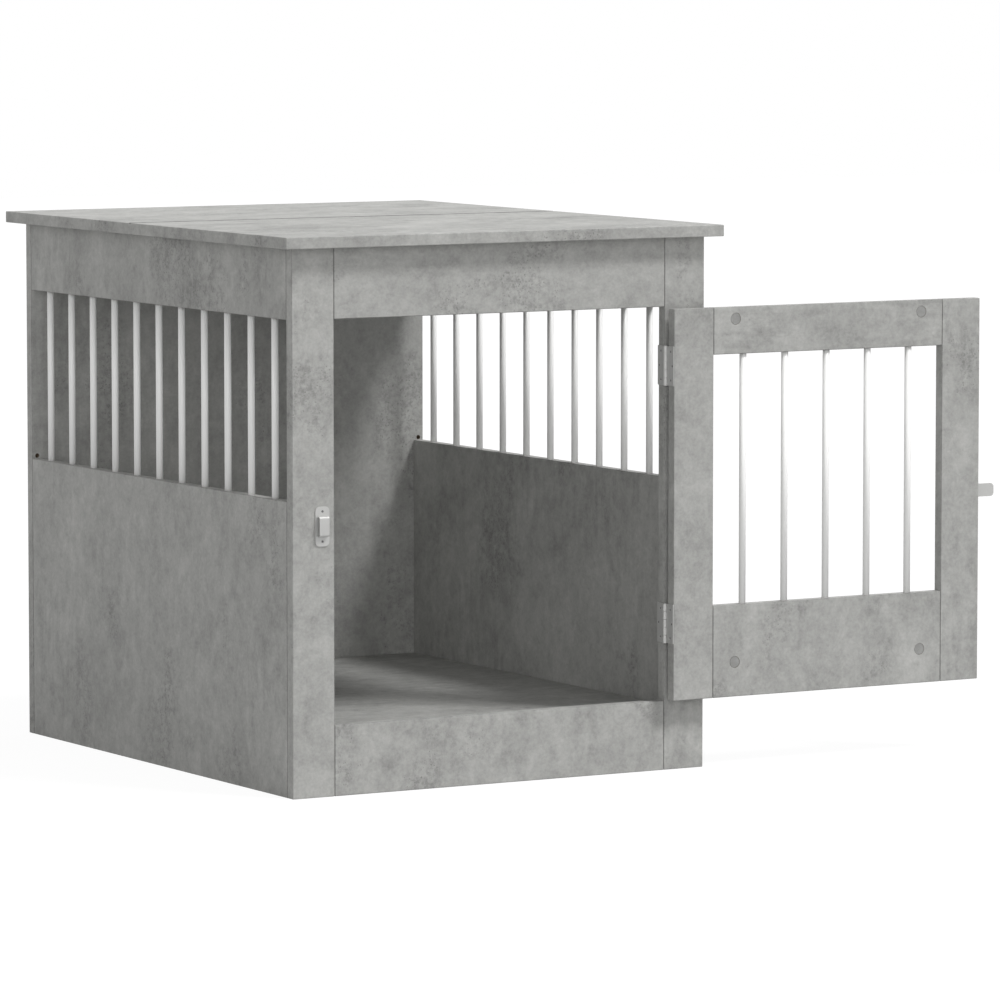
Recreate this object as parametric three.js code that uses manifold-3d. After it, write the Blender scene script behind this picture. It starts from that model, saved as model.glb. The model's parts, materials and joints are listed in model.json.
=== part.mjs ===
// Dog crate end table: a cabinet of flat boards with barred side windows and a two-board top,
// a barred front door on two butt hinges, and a flat slide bolt that locks into a keeper.
//
// Millimetres, +X to the right, +Y to the back, +Z up. The origin is on the floor, at mid width,
// in the middle of the front frame's thickness. The door stands open and its bolt is shot.

import * as THREE from "three";
import { mergeVertices } from "three/addons/utils/BufferGeometryUtils.js";
import Module from "manifold-3d";

const wasm = await Module();
wasm.setup();

// ---- Driving dimensions ----

// Table as a whole
const tableWidth = 645;
const tableDepth = 800;
const tableHeight = 710;
const boardThickness = 15;
const jointGap = 0.3; // left between two pieces that touch on the real table

// Top, of two boards that meet over a hidden cross rail
const sideOverhang = 18;
const frontOverhang = 20;
const rearOverhang = 25;
const frontTopDepth = 430;
const seamRailHeight = 60;

// Front frame, side windows and floor
const stileWidth = 60;
const upperRailHeight = 90;
const bottomRailHeight = 91;
const sidePanelHeight = 376;
const floorDrop = 15; // from the top of the front bottom rail down to the floor panel
const battenSize = 20;
const battenEndMargin = 60;

// Two stopped holes in the back panel, just over the side panels
const panelHoleDiameter = 6;
const panelHoleDepth = 8;
const panelHoleRise = 3.6;

// White round bars, stopped in drilled holes
const barDiameter = 9;
const barInsert = 9;
const sideBarCount = 11;
const sideBarEndMargin = 43.75; // from the end of the window to the middle of the first bar
const doorBarCount = 5;
const doorBarEndMargin = 49.6;

// Door
const doorOpenAngle = 180;
const doorEdgeGap = 2; // above and below the closed door
const latchGap = 8; // beside the closed door's free edge
const doorStileWidth = 60;
const doorTopRailHeight = 61;
const doorBottomRailHeight = 121;

// Cam fittings that draw the door's rails to its stiles
const camDiameter = 15;
const camDepth = 12;
const camFromRailEnd = 33.5;
const camFromDoorTop = 15.2;
const camFromDoorBottom = 45.5;

// Butt hinges
const hingeHeight = 51.5;
const hingeFromDoorTop = 74; // to the middle of the hinge
const hingeFromDoorBottom = 100;
const hingeStandOff = 4.5; // from the front face out to the hinge axis
const leafThickness = 1;
const leafClearance = 0.4; // between the two leaves of a closed hinge
const knuckleRadius = 3.5;
const knuckleCount = 5;
const pinRadius = 1.5;
const pinHeadRadius = 2.5;
const pinHeadHeight = 0.8;
const runningGap = 0.4;
const hingeScrewSpacing = 18.5;
const hingeScrewOffset = 7.5; // from the front face in to the outer screws
const hingeScrewStagger = 4; // the middle screw lies this much further in
const screwHoleDiameter = 3.4;

// Flat slide bolt and its keeper
const latchHeight = 344; // above the floor, to the middle of the bolt
const plateThickness = 1.2;
const boltWidth = 17.4;
const boltThickness = 3;
const boltReach = 36; // past the door's free edge
const boltTipRadius = 5;
const boltPlay = 0.3; // before and behind the bolt, and at each end of its travel
const boltTravel = 24;
const latchPlateHeight = 37;
const latchPlateInset = 2.5; // from the door's free edge
const guideWidth = 6;
const guidePlay = 0.5; // above and below the bolt
const knobRadius = 4.5;
const knobHeight = 8;
const knobShankRadius = 2;
const latchScrewInset = 5;
const keeperWidth = 20;
const keeperHeight = 50.5;
const keeperCornerRadius = 6;
const keeperInset = 7.8; // from the opening's edge to the keeper
const keeperScrewSpacing = 38;
const keeperBridgeWidth = 14;
const keeperBridgeHeight = 26;
const keeperSlotDepth = 4.8;

// How round the round pieces are
const barSides = 12;
const fineSides = 16;
const cornerSteps = 4;

// ---- Places worked out from the driving dimensions ----

const bodyWidth = tableWidth - 2 * sideOverhang;
const bodyDepth = tableDepth - frontOverhang - rearOverhang;
const frontFaceY = -boardThickness / 2;
const frameBackY = boardThickness / 2;
const bodyBackY = frontFaceY + bodyDepth;
const backPanelFrontY = bodyBackY - boardThickness;
const outerX = bodyWidth / 2;
const innerX = outerX - boardThickness;
const sideMiddleX = outerX - boardThickness / 2;

const topUndersideZ = tableHeight - boardThickness;
const frameTopZ = topUndersideZ - jointGap;
const openingTopZ = frameTopZ - upperRailHeight;
const openingBottomZ = bottomRailHeight;
const openingX = outerX - stileWidth;
const floorTopZ = bottomRailHeight - floorDrop;

const topFrontY = frontFaceY - frontOverhang;
const topBackY = topFrontY + tableDepth;
const seamFrontY = topFrontY + frontTopDepth;
const seamMiddleY = seamFrontY + jointGap / 2;

// The side boards lie between the front frame and the back panel.
const sideFrontY = frameBackY + jointGap;
const sideBackY = backPanelFrontY - jointGap;

const hingeGap = 2 * (jointGap + leafThickness) + leafClearance;
const hingeAxisX = openingX - hingeGap / 2;
const hingeAxisY = frontFaceY - hingeStandOff;

// Door places are measured from the hinge axis, with the door closed.
const doorHingeX = -hingeGap / 2;
const doorFreeX = -(openingX + hingeAxisX) + latchGap;
const doorFrontY = hingeStandOff;
const doorBackY = doorFrontY + boardThickness;
const doorBottomZ = openingBottomZ + doorEdgeGap;
const doorTopZ = openingTopZ - doorEdgeGap;
const doorWindowBottomZ = doorBottomZ + doorBottomRailHeight;
const doorWindowTopZ = doorTopZ - doorTopRailHeight;
const doorRailRightX = doorHingeX - doorStileWidth - jointGap;
const doorRailLeftX = doorFreeX + doorStileWidth + jointGap;
const hingeHeights = {
  upper: doorTopZ - hingeFromDoorTop,
  lower: doorBottomZ + hingeFromDoorBottom,
};

// ---- Materials ----

const finishes = {
  laminate: { color: 0x93938f, roughness: 0.6, metalness: 0 },
  whiteEnamel: { color: 0xe4e4e2, roughness: 0.4, metalness: 0 },
  nickelledSteel: { color: 0xb9b9b6, roughness: 0.35, metalness: 0.9 },
  greyPlastic: { color: 0x7d7d7a, roughness: 0.55, metalness: 0 },
};

function makeMaterial(finish) {
  return new THREE.MeshStandardMaterial(finishes[finish]);
}

// ---- Solids ----

function toSolid(geometry) {
  const plain = geometry.clone();
  plain.deleteAttribute("normal");
  plain.deleteAttribute("uv");
  const merged = mergeVertices(plain, 1e-5);
  const mesh = new wasm.Mesh({
    numProp: 3,
    vertProperties: Float32Array.from(merged.attributes.position.array),
    triVerts: Uint32Array.from(merged.index.array),
  });
  return new wasm.Manifold(mesh);
}

function toGeometry(solid) {
  const mesh = solid.getMesh();
  const geometry = new THREE.BufferGeometry();
  geometry.setAttribute("position", new THREE.BufferAttribute(mesh.vertProperties, 3));
  geometry.setIndex(new THREE.BufferAttribute(mesh.triVerts, 1));
  geometry.computeVertexNormals();
  return geometry;
}

function joinAll(geometries) {
  const solids = geometries.map(toSolid);
  return toGeometry(solids.reduce((whole, piece) => whole.add(piece)));
}

function cutAll(geometry, cutters) {
  const solids = cutters.map(toSolid);
  return toGeometry(solids.reduce((rest, cutter) => rest.subtract(cutter), toSolid(geometry)));
}

// A box between two corners, given as [low, high] on each axis.
function boxBetween(x, y, z) {
  const box = new THREE.BoxGeometry(x[1] - x[0], y[1] - y[0], z[1] - z[0]);
  return box.translate((x[0] + x[1]) / 2, (y[0] + y[1]) / 2, (z[0] + z[1]) / 2);
}

// A round rod along Z, Y or X, with a flat side facing each axis.
function rodAlong(axis, radius, length, sides) {
  const rod = new THREE.CylinderGeometry(radius, radius, length, sides);
  rod.rotateY(Math.PI / sides);
  if (axis === "z") rod.rotateX(Math.PI / 2);
  if (axis === "x") rod.rotateZ(Math.PI / 2);
  return rod;
}

// The radius that gives a rod's many-sided hole the stated gap on its flats.
function holeRadius(radius, gap, sides) {
  return radius + gap / Math.cos(Math.PI / sides);
}

function roundedRectangle(width, height, radius) {
  const x = width / 2;
  const y = height / 2;
  const shape = new THREE.Shape();
  shape.moveTo(-x + radius, -y);
  shape.lineTo(x - radius, -y);
  shape.absarc(x - radius, -y + radius, radius, -Math.PI / 2, 0, false);
  shape.lineTo(x, y - radius);
  shape.absarc(x - radius, y - radius, radius, 0, Math.PI / 2, false);
  shape.lineTo(-x + radius, y);
  shape.absarc(-x + radius, y - radius, radius, Math.PI / 2, Math.PI, false);
  shape.lineTo(-x, -y + radius);
  shape.absarc(-x + radius, -y + radius, radius, Math.PI, 1.5 * Math.PI, false);
  return shape;
}

function extrude(shape, depth) {
  return new THREE.ExtrudeGeometry(shape, { depth, bevelEnabled: false, curveSegments: cornerSteps });
}

// ---- The scene graph ----

const table = new THREE.Group();

function addPiece(group, name, geometry, finish, place = [0, 0, 0]) {
  const mesh = new THREE.Mesh(geometry, makeMaterial(finish));
  mesh.name = name;
  mesh.position.set(...place);
  group.add(mesh);
}

function addBoard(group, name, x, y, z) {
  addPiece(group, name, boxBetween(x, y, z), "laminate");
}

// The middles of equally spaced bars, with the same margin at both ends.
function barPlaces(start, end, margin, count) {
  const pitch = (end - start - 2 * margin) / (count - 1);
  return Array.from({ length: count }, (_, index) => start + margin + index * pitch);
}

const barHoleRadius = holeRadius(barDiameter / 2, jointGap, barSides);
const barHoleDepth = barInsert + jointGap;

// The cutter for a bar's stopped hole. Its middle is at the hole's mouth, on the board's edge.
function barHole(x, y, mouthZ) {
  return rodAlong("z", barHoleRadius, 2 * barHoleDepth, barSides).translate(x, y, mouthZ);
}

function addBar(group, name, x, y, bottomZ, topZ) {
  const bar = rodAlong("z", barDiameter / 2, topZ - bottomZ + 2 * barInsert, barSides);
  addPiece(group, name, bar, "whiteEnamel", [x, y, (bottomZ + topZ) / 2]);
}

// ---- Table top ----

function addTop() {
  const x = [-tableWidth / 2, tableWidth / 2];
  addBoard(table, "tabletop_front", x, [topFrontY, seamFrontY], [topUndersideZ, tableHeight]);
  addBoard(table, "tabletop_rear", x, [seamFrontY + jointGap, topBackY], [topUndersideZ, tableHeight]);
  const railX = innerX - jointGap;
  const railY = [seamMiddleY - boardThickness / 2, seamMiddleY + boardThickness / 2];
  addBoard(table, "tabletop_seam_rail", [-railX, railX], railY, [frameTopZ - seamRailHeight, frameTopZ]);
}

// ---- Front frame ----

function addFrontFrame() {
  const y = [frontFaceY, frameBackY];
  const railX = [-openingX + jointGap, openingX - jointGap];
  addBoard(table, "front_left_stile", [-outerX, -openingX], y, [0, frameTopZ]);
  addBoard(table, "front_right_stile", [openingX, outerX], y, [0, frameTopZ]);
  addBoard(table, "front_top_rail", railX, y, [openingTopZ, frameTopZ]);
  addBoard(table, "front_bottom_rail", railX, y, [0, openingBottomZ]);
}

// ---- Sides, each with its row of bars ----

const sideBarYs = barPlaces(frameBackY, backPanelFrontY, sideBarEndMargin, sideBarCount);

function addSide(name, sign) {
  const x = [innerX, outerX].map((value) => sign * value).sort((a, b) => a - b);
  const y = [sideFrontY, sideBackY];
  const middleX = sign * sideMiddleX;
  const rail = boxBetween(x, y, [openingTopZ, frameTopZ]);
  const panel = boxBetween(x, y, [0, sidePanelHeight]);
  const railHoles = sideBarYs.map((barY) => barHole(middleX, barY, openingTopZ));
  const panelHoles = sideBarYs.map((barY) => barHole(middleX, barY, sidePanelHeight));
  addPiece(table, `${name}_side_rail`, cutAll(rail, railHoles), "laminate");
  addPiece(table, `${name}_side_panel`, cutAll(panel, panelHoles), "laminate");
  sideBarYs.forEach((barY, index) => {
    const number = String(index + 1).padStart(2, "0");
    addBar(table, `${name}_side_bar_${number}`, middleX, barY, sidePanelHeight, openingTopZ);
  });
}

// ---- Back panel and floor ----

function addBack() {
  const panel = boxBetween([-outerX, outerX], [backPanelFrontY, bodyBackY], [0, frameTopZ]);
  const holes = [-1, 1].map((sign) => {
    const hole = rodAlong("y", panelHoleDiameter / 2, 2 * panelHoleDepth, fineSides);
    return hole.translate(sign * sideMiddleX, backPanelFrontY, sidePanelHeight + panelHoleRise);
  });
  addPiece(table, "back_panel", cutAll(panel, holes), "laminate");
}

function addFloor() {
  const edgeX = innerX - jointGap;
  const undersideZ = floorTopZ - boardThickness;
  addBoard(table, "floor_panel", [-edgeX, edgeX], [sideFrontY, sideBackY], [undersideZ, floorTopZ]);
  const battenY = [sideFrontY + battenEndMargin, sideBackY - battenEndMargin];
  const battenZ = [undersideZ - jointGap - battenSize, undersideZ - jointGap];
  addBoard(table, "floor_batten_left", [-edgeX, -edgeX + battenSize], battenY, battenZ);
  addBoard(table, "floor_batten_right", [edgeX - battenSize, edgeX], battenY, battenZ);
}

// ---- Hinges ----

const knucklePitch = hingeHeight / knuckleCount;
const knuckleBore = holeRadius(pinRadius, runningGap, fineSides);

// One leaf on the hinge axis, reaching to +Y, with its plate on the +X side or the -X side.
// It carries every second knuckle, counted from the given first one.
function hingeLeaf(side, firstKnuckle) {
  const plateMiddleX = side * (leafClearance / 2 + leafThickness / 2);
  const plateX = [plateMiddleX - leafThickness / 2, plateMiddleX + leafThickness / 2];
  const plateEndY = hingeStandOff + boardThickness;
  const plateStartY = knuckleRadius + runningGap;
  const tabStartY = (knuckleRadius + knuckleBore) / 2;
  const pieces = [boxBetween(plateX, [plateStartY, plateEndY], [-hingeHeight / 2, hingeHeight / 2])];
  const knuckleHeight = knucklePitch - jointGap;
  for (let index = firstKnuckle; index < knuckleCount; index += 2) {
    const middleZ = -hingeHeight / 2 + (index + 0.5) * knucklePitch;
    const z = [middleZ - knuckleHeight / 2, middleZ + knuckleHeight / 2];
    pieces.push(rodAlong("z", knuckleRadius, knuckleHeight, fineSides).translate(0, 0, middleZ));
    pieces.push(boxBetween(plateX, [tabStartY, plateStartY + leafThickness], z));
  }
  const cutters = [rodAlong("z", knuckleBore, 2 * hingeHeight, fineSides)];
  for (const step of [-1, 0, 1]) {
    const hole = rodAlong("x", screwHoleDiameter / 2, 4 * leafThickness, barSides);
    const stagger = step === 0 ? hingeScrewStagger : 0;
    const holeY = hingeStandOff + hingeScrewOffset + stagger;
    cutters.push(hole.translate(plateMiddleX, holeY, step * hingeScrewSpacing));
  }
  return cutAll(joinAll(pieces), cutters);
}

// A turned pin with a small domed head at each end.
function hingePin() {
  const headZ = hingeHeight / 2 + jointGap;
  const topZ = headZ + pinHeadHeight;
  const crownRadius = pinHeadRadius / 2;
  const half = [
    new THREE.Vector2(pinRadius, headZ),
    new THREE.Vector2(pinHeadRadius, headZ),
    new THREE.Vector2(pinHeadRadius, headZ + pinHeadHeight / 2),
    new THREE.Vector2(crownRadius, topZ),
    new THREE.Vector2(0, topZ),
  ];
  const lower = half.map((point) => new THREE.Vector2(point.x, -point.y)).reverse();
  const pin = new THREE.LatheGeometry([...lower, ...half], fineSides);
  return toGeometry(toSolid(pin.rotateX(Math.PI / 2)));
}

// ---- Door ----

function addDoorFrame(door) {
  const y = [doorFrontY, doorBackY];
  const z = [doorBottomZ, doorTopZ];
  const middleY = (doorFrontY + doorBackY) / 2;
  addBoard(door, "door_hinge_stile", [doorHingeX - doorStileWidth, doorHingeX], y, z);
  addBoard(door, "door_latch_stile", [doorFreeX, doorFreeX + doorStileWidth], y, z);

  const windowX = [doorFreeX + doorStileWidth, doorHingeX - doorStileWidth];
  const barXs = barPlaces(...windowX, doorBarEndMargin, doorBarCount);
  const camXs = [doorRailLeftX + camFromRailEnd, doorRailRightX - camFromRailEnd];
  const rails = {
    top: { z: [doorWindowTopZ, doorTopZ], mouthZ: doorWindowTopZ, camZ: doorTopZ - camFromDoorTop },
    bottom: {
      z: [doorBottomZ, doorWindowBottomZ],
      mouthZ: doorWindowBottomZ,
      camZ: doorBottomZ + camFromDoorBottom,
    },
  };
  const camHoleRadius = holeRadius(camDiameter / 2, jointGap, fineSides);
  for (const [name, rail] of Object.entries(rails)) {
    const board = boxBetween([doorRailLeftX, doorRailRightX], y, rail.z);
    const barHoles = barXs.map((x) => barHole(x, middleY, rail.mouthZ));
    const camHoles = camXs.map((x) => {
      const hole = rodAlong("y", camHoleRadius, 2 * (camDepth + jointGap), fineSides);
      return hole.translate(x, doorBackY, rail.camZ);
    });
    addPiece(door, `door_${name}_rail`, cutAll(board, [...barHoles, ...camHoles]), "laminate");
    camXs.forEach((x, index) => {
      const side = ["latch", "hinge"][index];
      const cam = rodAlong("y", camDiameter / 2, camDepth, fineSides);
      const place = [x, doorBackY - camDepth / 2, rail.camZ];
      addPiece(door, `door_cam_${name}_${side}_side`, cam, "greyPlastic", place);
    });
  }
  barXs.forEach((x, index) => {
    addBar(door, `door_bar_${index + 1}`, x, middleY, doorWindowBottomZ, doorWindowTopZ);
  });
}

// ---- Slide bolt on the door, and its keeper on the frame ----

// A strap along X that bridges a bolt: two legs and a flat span, standing on y = 0 towards -Y.
function strap(width, outerHeight, clearDepth) {
  const half = outerHeight / 2;
  const outerDepth = clearDepth + plateThickness;
  const corner = 2 * plateThickness;
  const profile = new THREE.Shape();
  profile.moveTo(-half, 0);
  profile.lineTo(-half, outerDepth - corner);
  profile.absarc(-half + corner, outerDepth - corner, corner, Math.PI, Math.PI / 2, true);
  profile.lineTo(half - corner, outerDepth);
  profile.absarc(half - corner, outerDepth - corner, corner, Math.PI / 2, 0, true);
  profile.lineTo(half, 0);
  profile.lineTo(half - plateThickness, 0);
  profile.lineTo(half - plateThickness, outerDepth - corner);
  profile.absarc(half - corner, outerDepth - corner, corner - plateThickness, 0, Math.PI / 2, false);
  profile.lineTo(-half + corner, clearDepth);
  profile.absarc(-half + corner, outerDepth - corner, corner - plateThickness, Math.PI / 2, Math.PI, false);
  profile.lineTo(-half + plateThickness, 0);
  const body = extrude(profile, width).translate(0, 0, -width / 2);
  // The profile's x becomes Z, its y becomes -Y and its depth becomes X.
  const turn = new THREE.Matrix4().makeBasis(
    new THREE.Vector3(0, 0, 1),
    new THREE.Vector3(0, -1, 0),
    new THREE.Vector3(1, 0, 0),
  );
  return body.applyMatrix4(turn);
}

// A flat plate on a front face: width along X, height along Z, its back on y = 0.
function wallPlate(width, height, radius) {
  const plate = extrude(roundedRectangle(width, height, radius), plateThickness);
  return plate.rotateX(Math.PI / 2);
}

function screwHole(x, z) {
  const hole = rodAlong("y", screwHoleDiameter / 2, 4 * plateThickness, barSides);
  return hole.translate(x, -plateThickness / 2, z);
}

function addKeeper() {
  const plate = wallPlate(keeperWidth, keeperHeight, keeperCornerRadius);
  const bridge = strap(keeperBridgeWidth, keeperBridgeHeight, plateThickness + keeperSlotDepth);
  const holes = [-1, 1].map((sign) => screwHole(0, (sign * keeperScrewSpacing) / 2));
  const keeper = cutAll(joinAll([plate, bridge]), holes);
  const middleX = -openingX - keeperInset - keeperWidth / 2;
  addPiece(table, "bolt_keeper", keeper, "nickelledSteel", [middleX, frontFaceY - jointGap, latchHeight]);
}

const guideClearDepth = boltThickness + 2 * boltPlay;
const guideHeight = boltWidth + 2 * (guidePlay + plateThickness);

// The knob runs between the two guides, which stop it at both ends of the bolt's travel.
const knobX = guideWidth + boltPlay + knobRadius; // from the plate's outer end
const guideSpacing = guideWidth + 2 * (boltPlay + knobRadius) + boltTravel;
const latchPlateLength = guideSpacing + guideWidth;

// The latch stands on the door's front face, and places are measured in from its free edge.
function addLatch(door) {
  const latch = new THREE.Group();
  latch.position.set(doorFreeX, doorFrontY - jointGap, latchHeight);
  door.add(latch);

  const plate = wallPlate(latchPlateLength, latchPlateHeight, plateThickness);
  plate.translate(latchPlateInset + latchPlateLength / 2, 0, 0);
  const guides = [0, 1].map((index) => {
    const guide = strap(guideWidth, guideHeight, plateThickness + guideClearDepth);
    return guide.translate(latchPlateInset + guideWidth / 2 + index * guideSpacing, 0, 0);
  });
  const plateEndX = latchPlateInset + latchPlateLength;
  const screwXs = [latchPlateInset + latchScrewInset, plateEndX - latchScrewInset];
  const screwZ = latchPlateHeight / 2 - latchScrewInset;
  const holes = screwXs.flatMap((x) => [screwHole(x, -screwZ), screwHole(x, screwZ)]);
  addPiece(latch, "latch_plate", cutAll(joinAll([plate, ...guides]), holes), "nickelledSteel");

  const boltBackY = -plateThickness - boltPlay;
  const length = boltReach + latchPlateInset + latchPlateLength;
  const bar = extrude(roundedRectangle(length, boltWidth, boltTipRadius), boltThickness);
  bar.rotateX(Math.PI / 2).translate(length / 2 - boltReach, boltBackY, 0);
  const knobPlace = [latchPlateInset + knobX, boltBackY - boltThickness / 2, 0];
  const shankHoleRadius = holeRadius(knobShankRadius, jointGap, fineSides);
  const shankHole = rodAlong("y", shankHoleRadius, 2 * boltThickness, fineSides);
  shankHole.translate(...knobPlace);
  addPiece(latch, "slide_bolt", cutAll(bar, [shankHole]), "nickelledSteel");
  addPiece(latch, "slide_bolt_knob", boltKnob(), "nickelledSteel", knobPlace);
}

// A turned knob on a shank that fills the bolt's hole, pointing to -Y from the bolt's middle.
function boltKnob() {
  const seat = boltThickness / 2;
  const collar = seat + jointGap;
  const top = collar + knobHeight;
  const waist = 0.7 * knobRadius;
  const profile = [
    new THREE.Vector2(0, -seat),
    new THREE.Vector2(knobShankRadius, -seat),
    new THREE.Vector2(knobShankRadius, collar),
    new THREE.Vector2(waist, collar),
    new THREE.Vector2(waist, collar + knobHeight / 3),
    new THREE.Vector2(knobRadius, collar + knobHeight / 2),
    new THREE.Vector2(knobRadius, top - knobHeight / 8),
    new THREE.Vector2(waist, top),
    new THREE.Vector2(0, top),
  ];
  const knob = new THREE.LatheGeometry(profile, fineSides);
  return toGeometry(toSolid(knob.rotateX(Math.PI)));
}

// ---- Assembly ----

function addHinge(name, door, middleZ) {
  const frameHinge = new THREE.Group();
  frameHinge.position.set(hingeAxisX, hingeAxisY, middleZ);
  table.add(frameHinge);
  addPiece(frameHinge, `${name}_hinge_frame_leaf`, hingeLeaf(1, 0), "nickelledSteel");
  addPiece(frameHinge, `${name}_hinge_pin`, hingePin(), "nickelledSteel");
  addPiece(door, `${name}_hinge_door_leaf`, hingeLeaf(-1, 1), "nickelledSteel", [0, 0, middleZ]);
}

function addDoor() {
  const door = new THREE.Group();
  door.position.set(hingeAxisX, hingeAxisY, 0);
  door.rotation.z = THREE.MathUtils.degToRad(doorOpenAngle);
  table.add(door);
  addDoorFrame(door);
  addLatch(door);
  for (const [name, middleZ] of Object.entries(hingeHeights)) addHinge(name, door, middleZ);
}

addTop();
addFrontFrame();
addSide("left", -1);
addSide("right", 1);
addBack();
addFloor();
addKeeper();
addDoor();

export default table;
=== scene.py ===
# %% [markdown]
# # A dog crate end table
#
# A crate that doubles as an end table: a cabinet of concrete-pattern boards, white bars in its
# sides and its door, and satin nickel fittings. The table's solids are already made and placed.
# This notebook gives them the surfaces and the small shapes that a real one has.
#
# Each cell makes one thing. Lengths are in metres, with Z up and the floor at zero.

import json
import math

import bmesh
import bpy
from mathutils import Matrix, Vector


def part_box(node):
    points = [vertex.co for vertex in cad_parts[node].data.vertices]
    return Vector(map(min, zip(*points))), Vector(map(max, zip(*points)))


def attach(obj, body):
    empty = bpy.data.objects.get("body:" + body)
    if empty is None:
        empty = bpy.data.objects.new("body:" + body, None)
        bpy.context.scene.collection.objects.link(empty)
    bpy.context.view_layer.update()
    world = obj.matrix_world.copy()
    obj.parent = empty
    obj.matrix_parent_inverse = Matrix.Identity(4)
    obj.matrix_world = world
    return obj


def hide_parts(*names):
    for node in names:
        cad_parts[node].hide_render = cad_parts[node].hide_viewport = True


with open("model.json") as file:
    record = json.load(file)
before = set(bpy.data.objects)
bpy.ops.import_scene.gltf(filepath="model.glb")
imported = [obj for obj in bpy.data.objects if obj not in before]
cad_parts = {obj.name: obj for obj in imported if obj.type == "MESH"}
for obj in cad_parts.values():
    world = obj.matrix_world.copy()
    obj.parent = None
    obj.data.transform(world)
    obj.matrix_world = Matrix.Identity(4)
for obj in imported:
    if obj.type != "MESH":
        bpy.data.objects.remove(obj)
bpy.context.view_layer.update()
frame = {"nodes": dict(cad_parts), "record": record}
MM = 0.001

# %% [markdown]
# ## Camera and light
#
# The picture was taken with a long lens from a good distance, a little above the table and to
# its left. A long lens keeps the upright edges nearly parallel, so it is worth copying: a wide
# lens from close by would spread them.

# %% Camera
CAMERA_PLACE = Vector((-4.05619, -6.94203, 1.11989))
CAMERA_YAW = 0.52897  # to the right of straight ahead
CAMERA_PITCH = -0.09369
CAMERA_LENS = 227.112
SENSOR_WIDTH = 36
FARTHEST_SEEN = 100


def add_camera():
    data = bpy.data.cameras.new("camera")
    data.sensor_width = SENSOR_WIDTH
    data.sensor_fit = "HORIZONTAL"
    data.lens = CAMERA_LENS
    data.clip_end = FARTHEST_SEEN
    camera = bpy.data.objects.new("camera", data)
    camera.location = CAMERA_PLACE
    camera.rotation_euler = (math.pi / 2 + CAMERA_PITCH, 0, -CAMERA_YAW)
    bpy.context.scene.collection.objects.link(camera)
    bpy.context.scene.camera = camera


add_camera()
print("camera lens in millimetres:", CAMERA_LENS)

# %% [markdown]
# One broad lamp stands high on the right, in front of the table. It throws the shadow under the
# top's front edge, and a slanting one across the back panel through the right window. A very
# soft second lamp stands on the left of the camera. It lights the left side and the bars there,
# and reaches through the doorway to the back panel. A weak one overhead lifts the top.

# %% Lamps
# Each lamp has the direction that it stands in, its strength and its softness.
MAIN_LAMP = (Vector((0.46, -0.58, 1.0)), 2.24, math.radians(14))
FILL_LAMP = (Vector((-0.56, -0.82, 0.1)), 1.06, math.radians(40))
OVERHEAD_LAMP = (Vector((0, 0, 1)), 0.62, math.radians(30))
ROOM_STRENGTH = 0.35


def add_lamp(name, direction, strength, softness):
    data = bpy.data.lights.new(name, "SUN")
    data.energy = strength
    data.angle = softness
    lamp = bpy.data.objects.new(name, data)
    lamp.rotation_euler = direction.to_track_quat("Z", "Y").to_euler()
    bpy.context.scene.collection.objects.link(lamp)
    print(name, "stands", round(math.degrees(math.asin(direction.normalized().z))), "degrees up")


add_lamp("main_lamp", *MAIN_LAMP)
add_lamp("fill_lamp", *FILL_LAMP)
add_lamp("overhead_lamp", *OVERHEAD_LAMP)

# %% [markdown]
# Materials are trees of nodes. Two small helpers keep the trees short to write: one adds a node
# and sets what it needs, and the other wires an input to a value or to another node's output.


# %% Helpers for node trees
def add_node(tree, kind, inputs=None, **settings):
    node = tree.nodes.new(kind)
    for name, value in settings.items():
        setattr(node, name, value)
    for name, value in (inputs or {}).items():
        feed(tree, node.inputs[name], value)
    return node


def feed(tree, socket, value):
    if isinstance(value, bpy.types.NodeSocket):
        tree.links.new(value, socket)
    else:
        socket.default_value = value


def maths(tree, operation, first, second=0.0, clamp=False):
    node = add_node(tree, "ShaderNodeMath", {0: first, 1: second}, operation=operation, use_clamp=clamp)
    return node.outputs[0]


def ramp(tree, value, low, high, start=0.0, end=1.0):
    """The value eased from start at low to end at high, and held outside them."""
    inputs = {"Value": value, "From Min": low, "From Max": high, "To Min": start, "To Max": end}
    return add_node(tree, "ShaderNodeMapRange", inputs, interpolation_type="SMOOTHSTEP").outputs["Result"]


def noise(tree, place, scale, detail=4.0, roughness=0.55, distortion=0.0):
    inputs = {"Vector": place, "Scale": scale, "Detail": detail, "Roughness": roughness}
    inputs["Distortion"] = distortion
    return add_node(tree, "ShaderNodeTexNoise", inputs).outputs["Fac"]


def scaled_color(tree, color, share):
    inputs = {0: color, "Scale": share}
    return add_node(tree, "ShaderNodeVectorMath", inputs, operation="SCALE").outputs["Vector"]


def mixed_color(tree, share, first, second):
    """The first colour where the share is zero, and the second where it is one."""
    # A Mix node has its factor in socket 0 and its two colours in sockets 6 and 7.
    inputs = {0: share, 6: first, 7: second}
    return add_node(tree, "ShaderNodeMix", inputs, data_type="RGBA").outputs[2]


def stretched(tree, place, lengths, turn=(0, 0, 0)):
    """A place turned and then divided by the lengths, so that a pattern read there is drawn out."""
    inputs = {"Vector": place, "Rotation": turn, "Scale": lengths}
    return add_node(tree, "ShaderNodeMapping", inputs, vector_type="TEXTURE").outputs["Vector"]


# %% [markdown]
# ## Floor and room
#
# The floor and the room are white where the camera sees them, straight or in a reflection, and
# an even pale grey where they light the table. Light Path tells the two apart. The floor still
# takes the table's shadow, very faintly, as the white one in the picture hardly shows any.

# %% Room light
def seen_share(tree):
    """One where the camera looks, straight or in a reflection, and zero elsewhere."""
    path = add_node(tree, "ShaderNodeLightPath").outputs
    return maths(tree, "MAXIMUM", path["Is Camera Ray"], path["Is Glossy Ray"])


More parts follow.
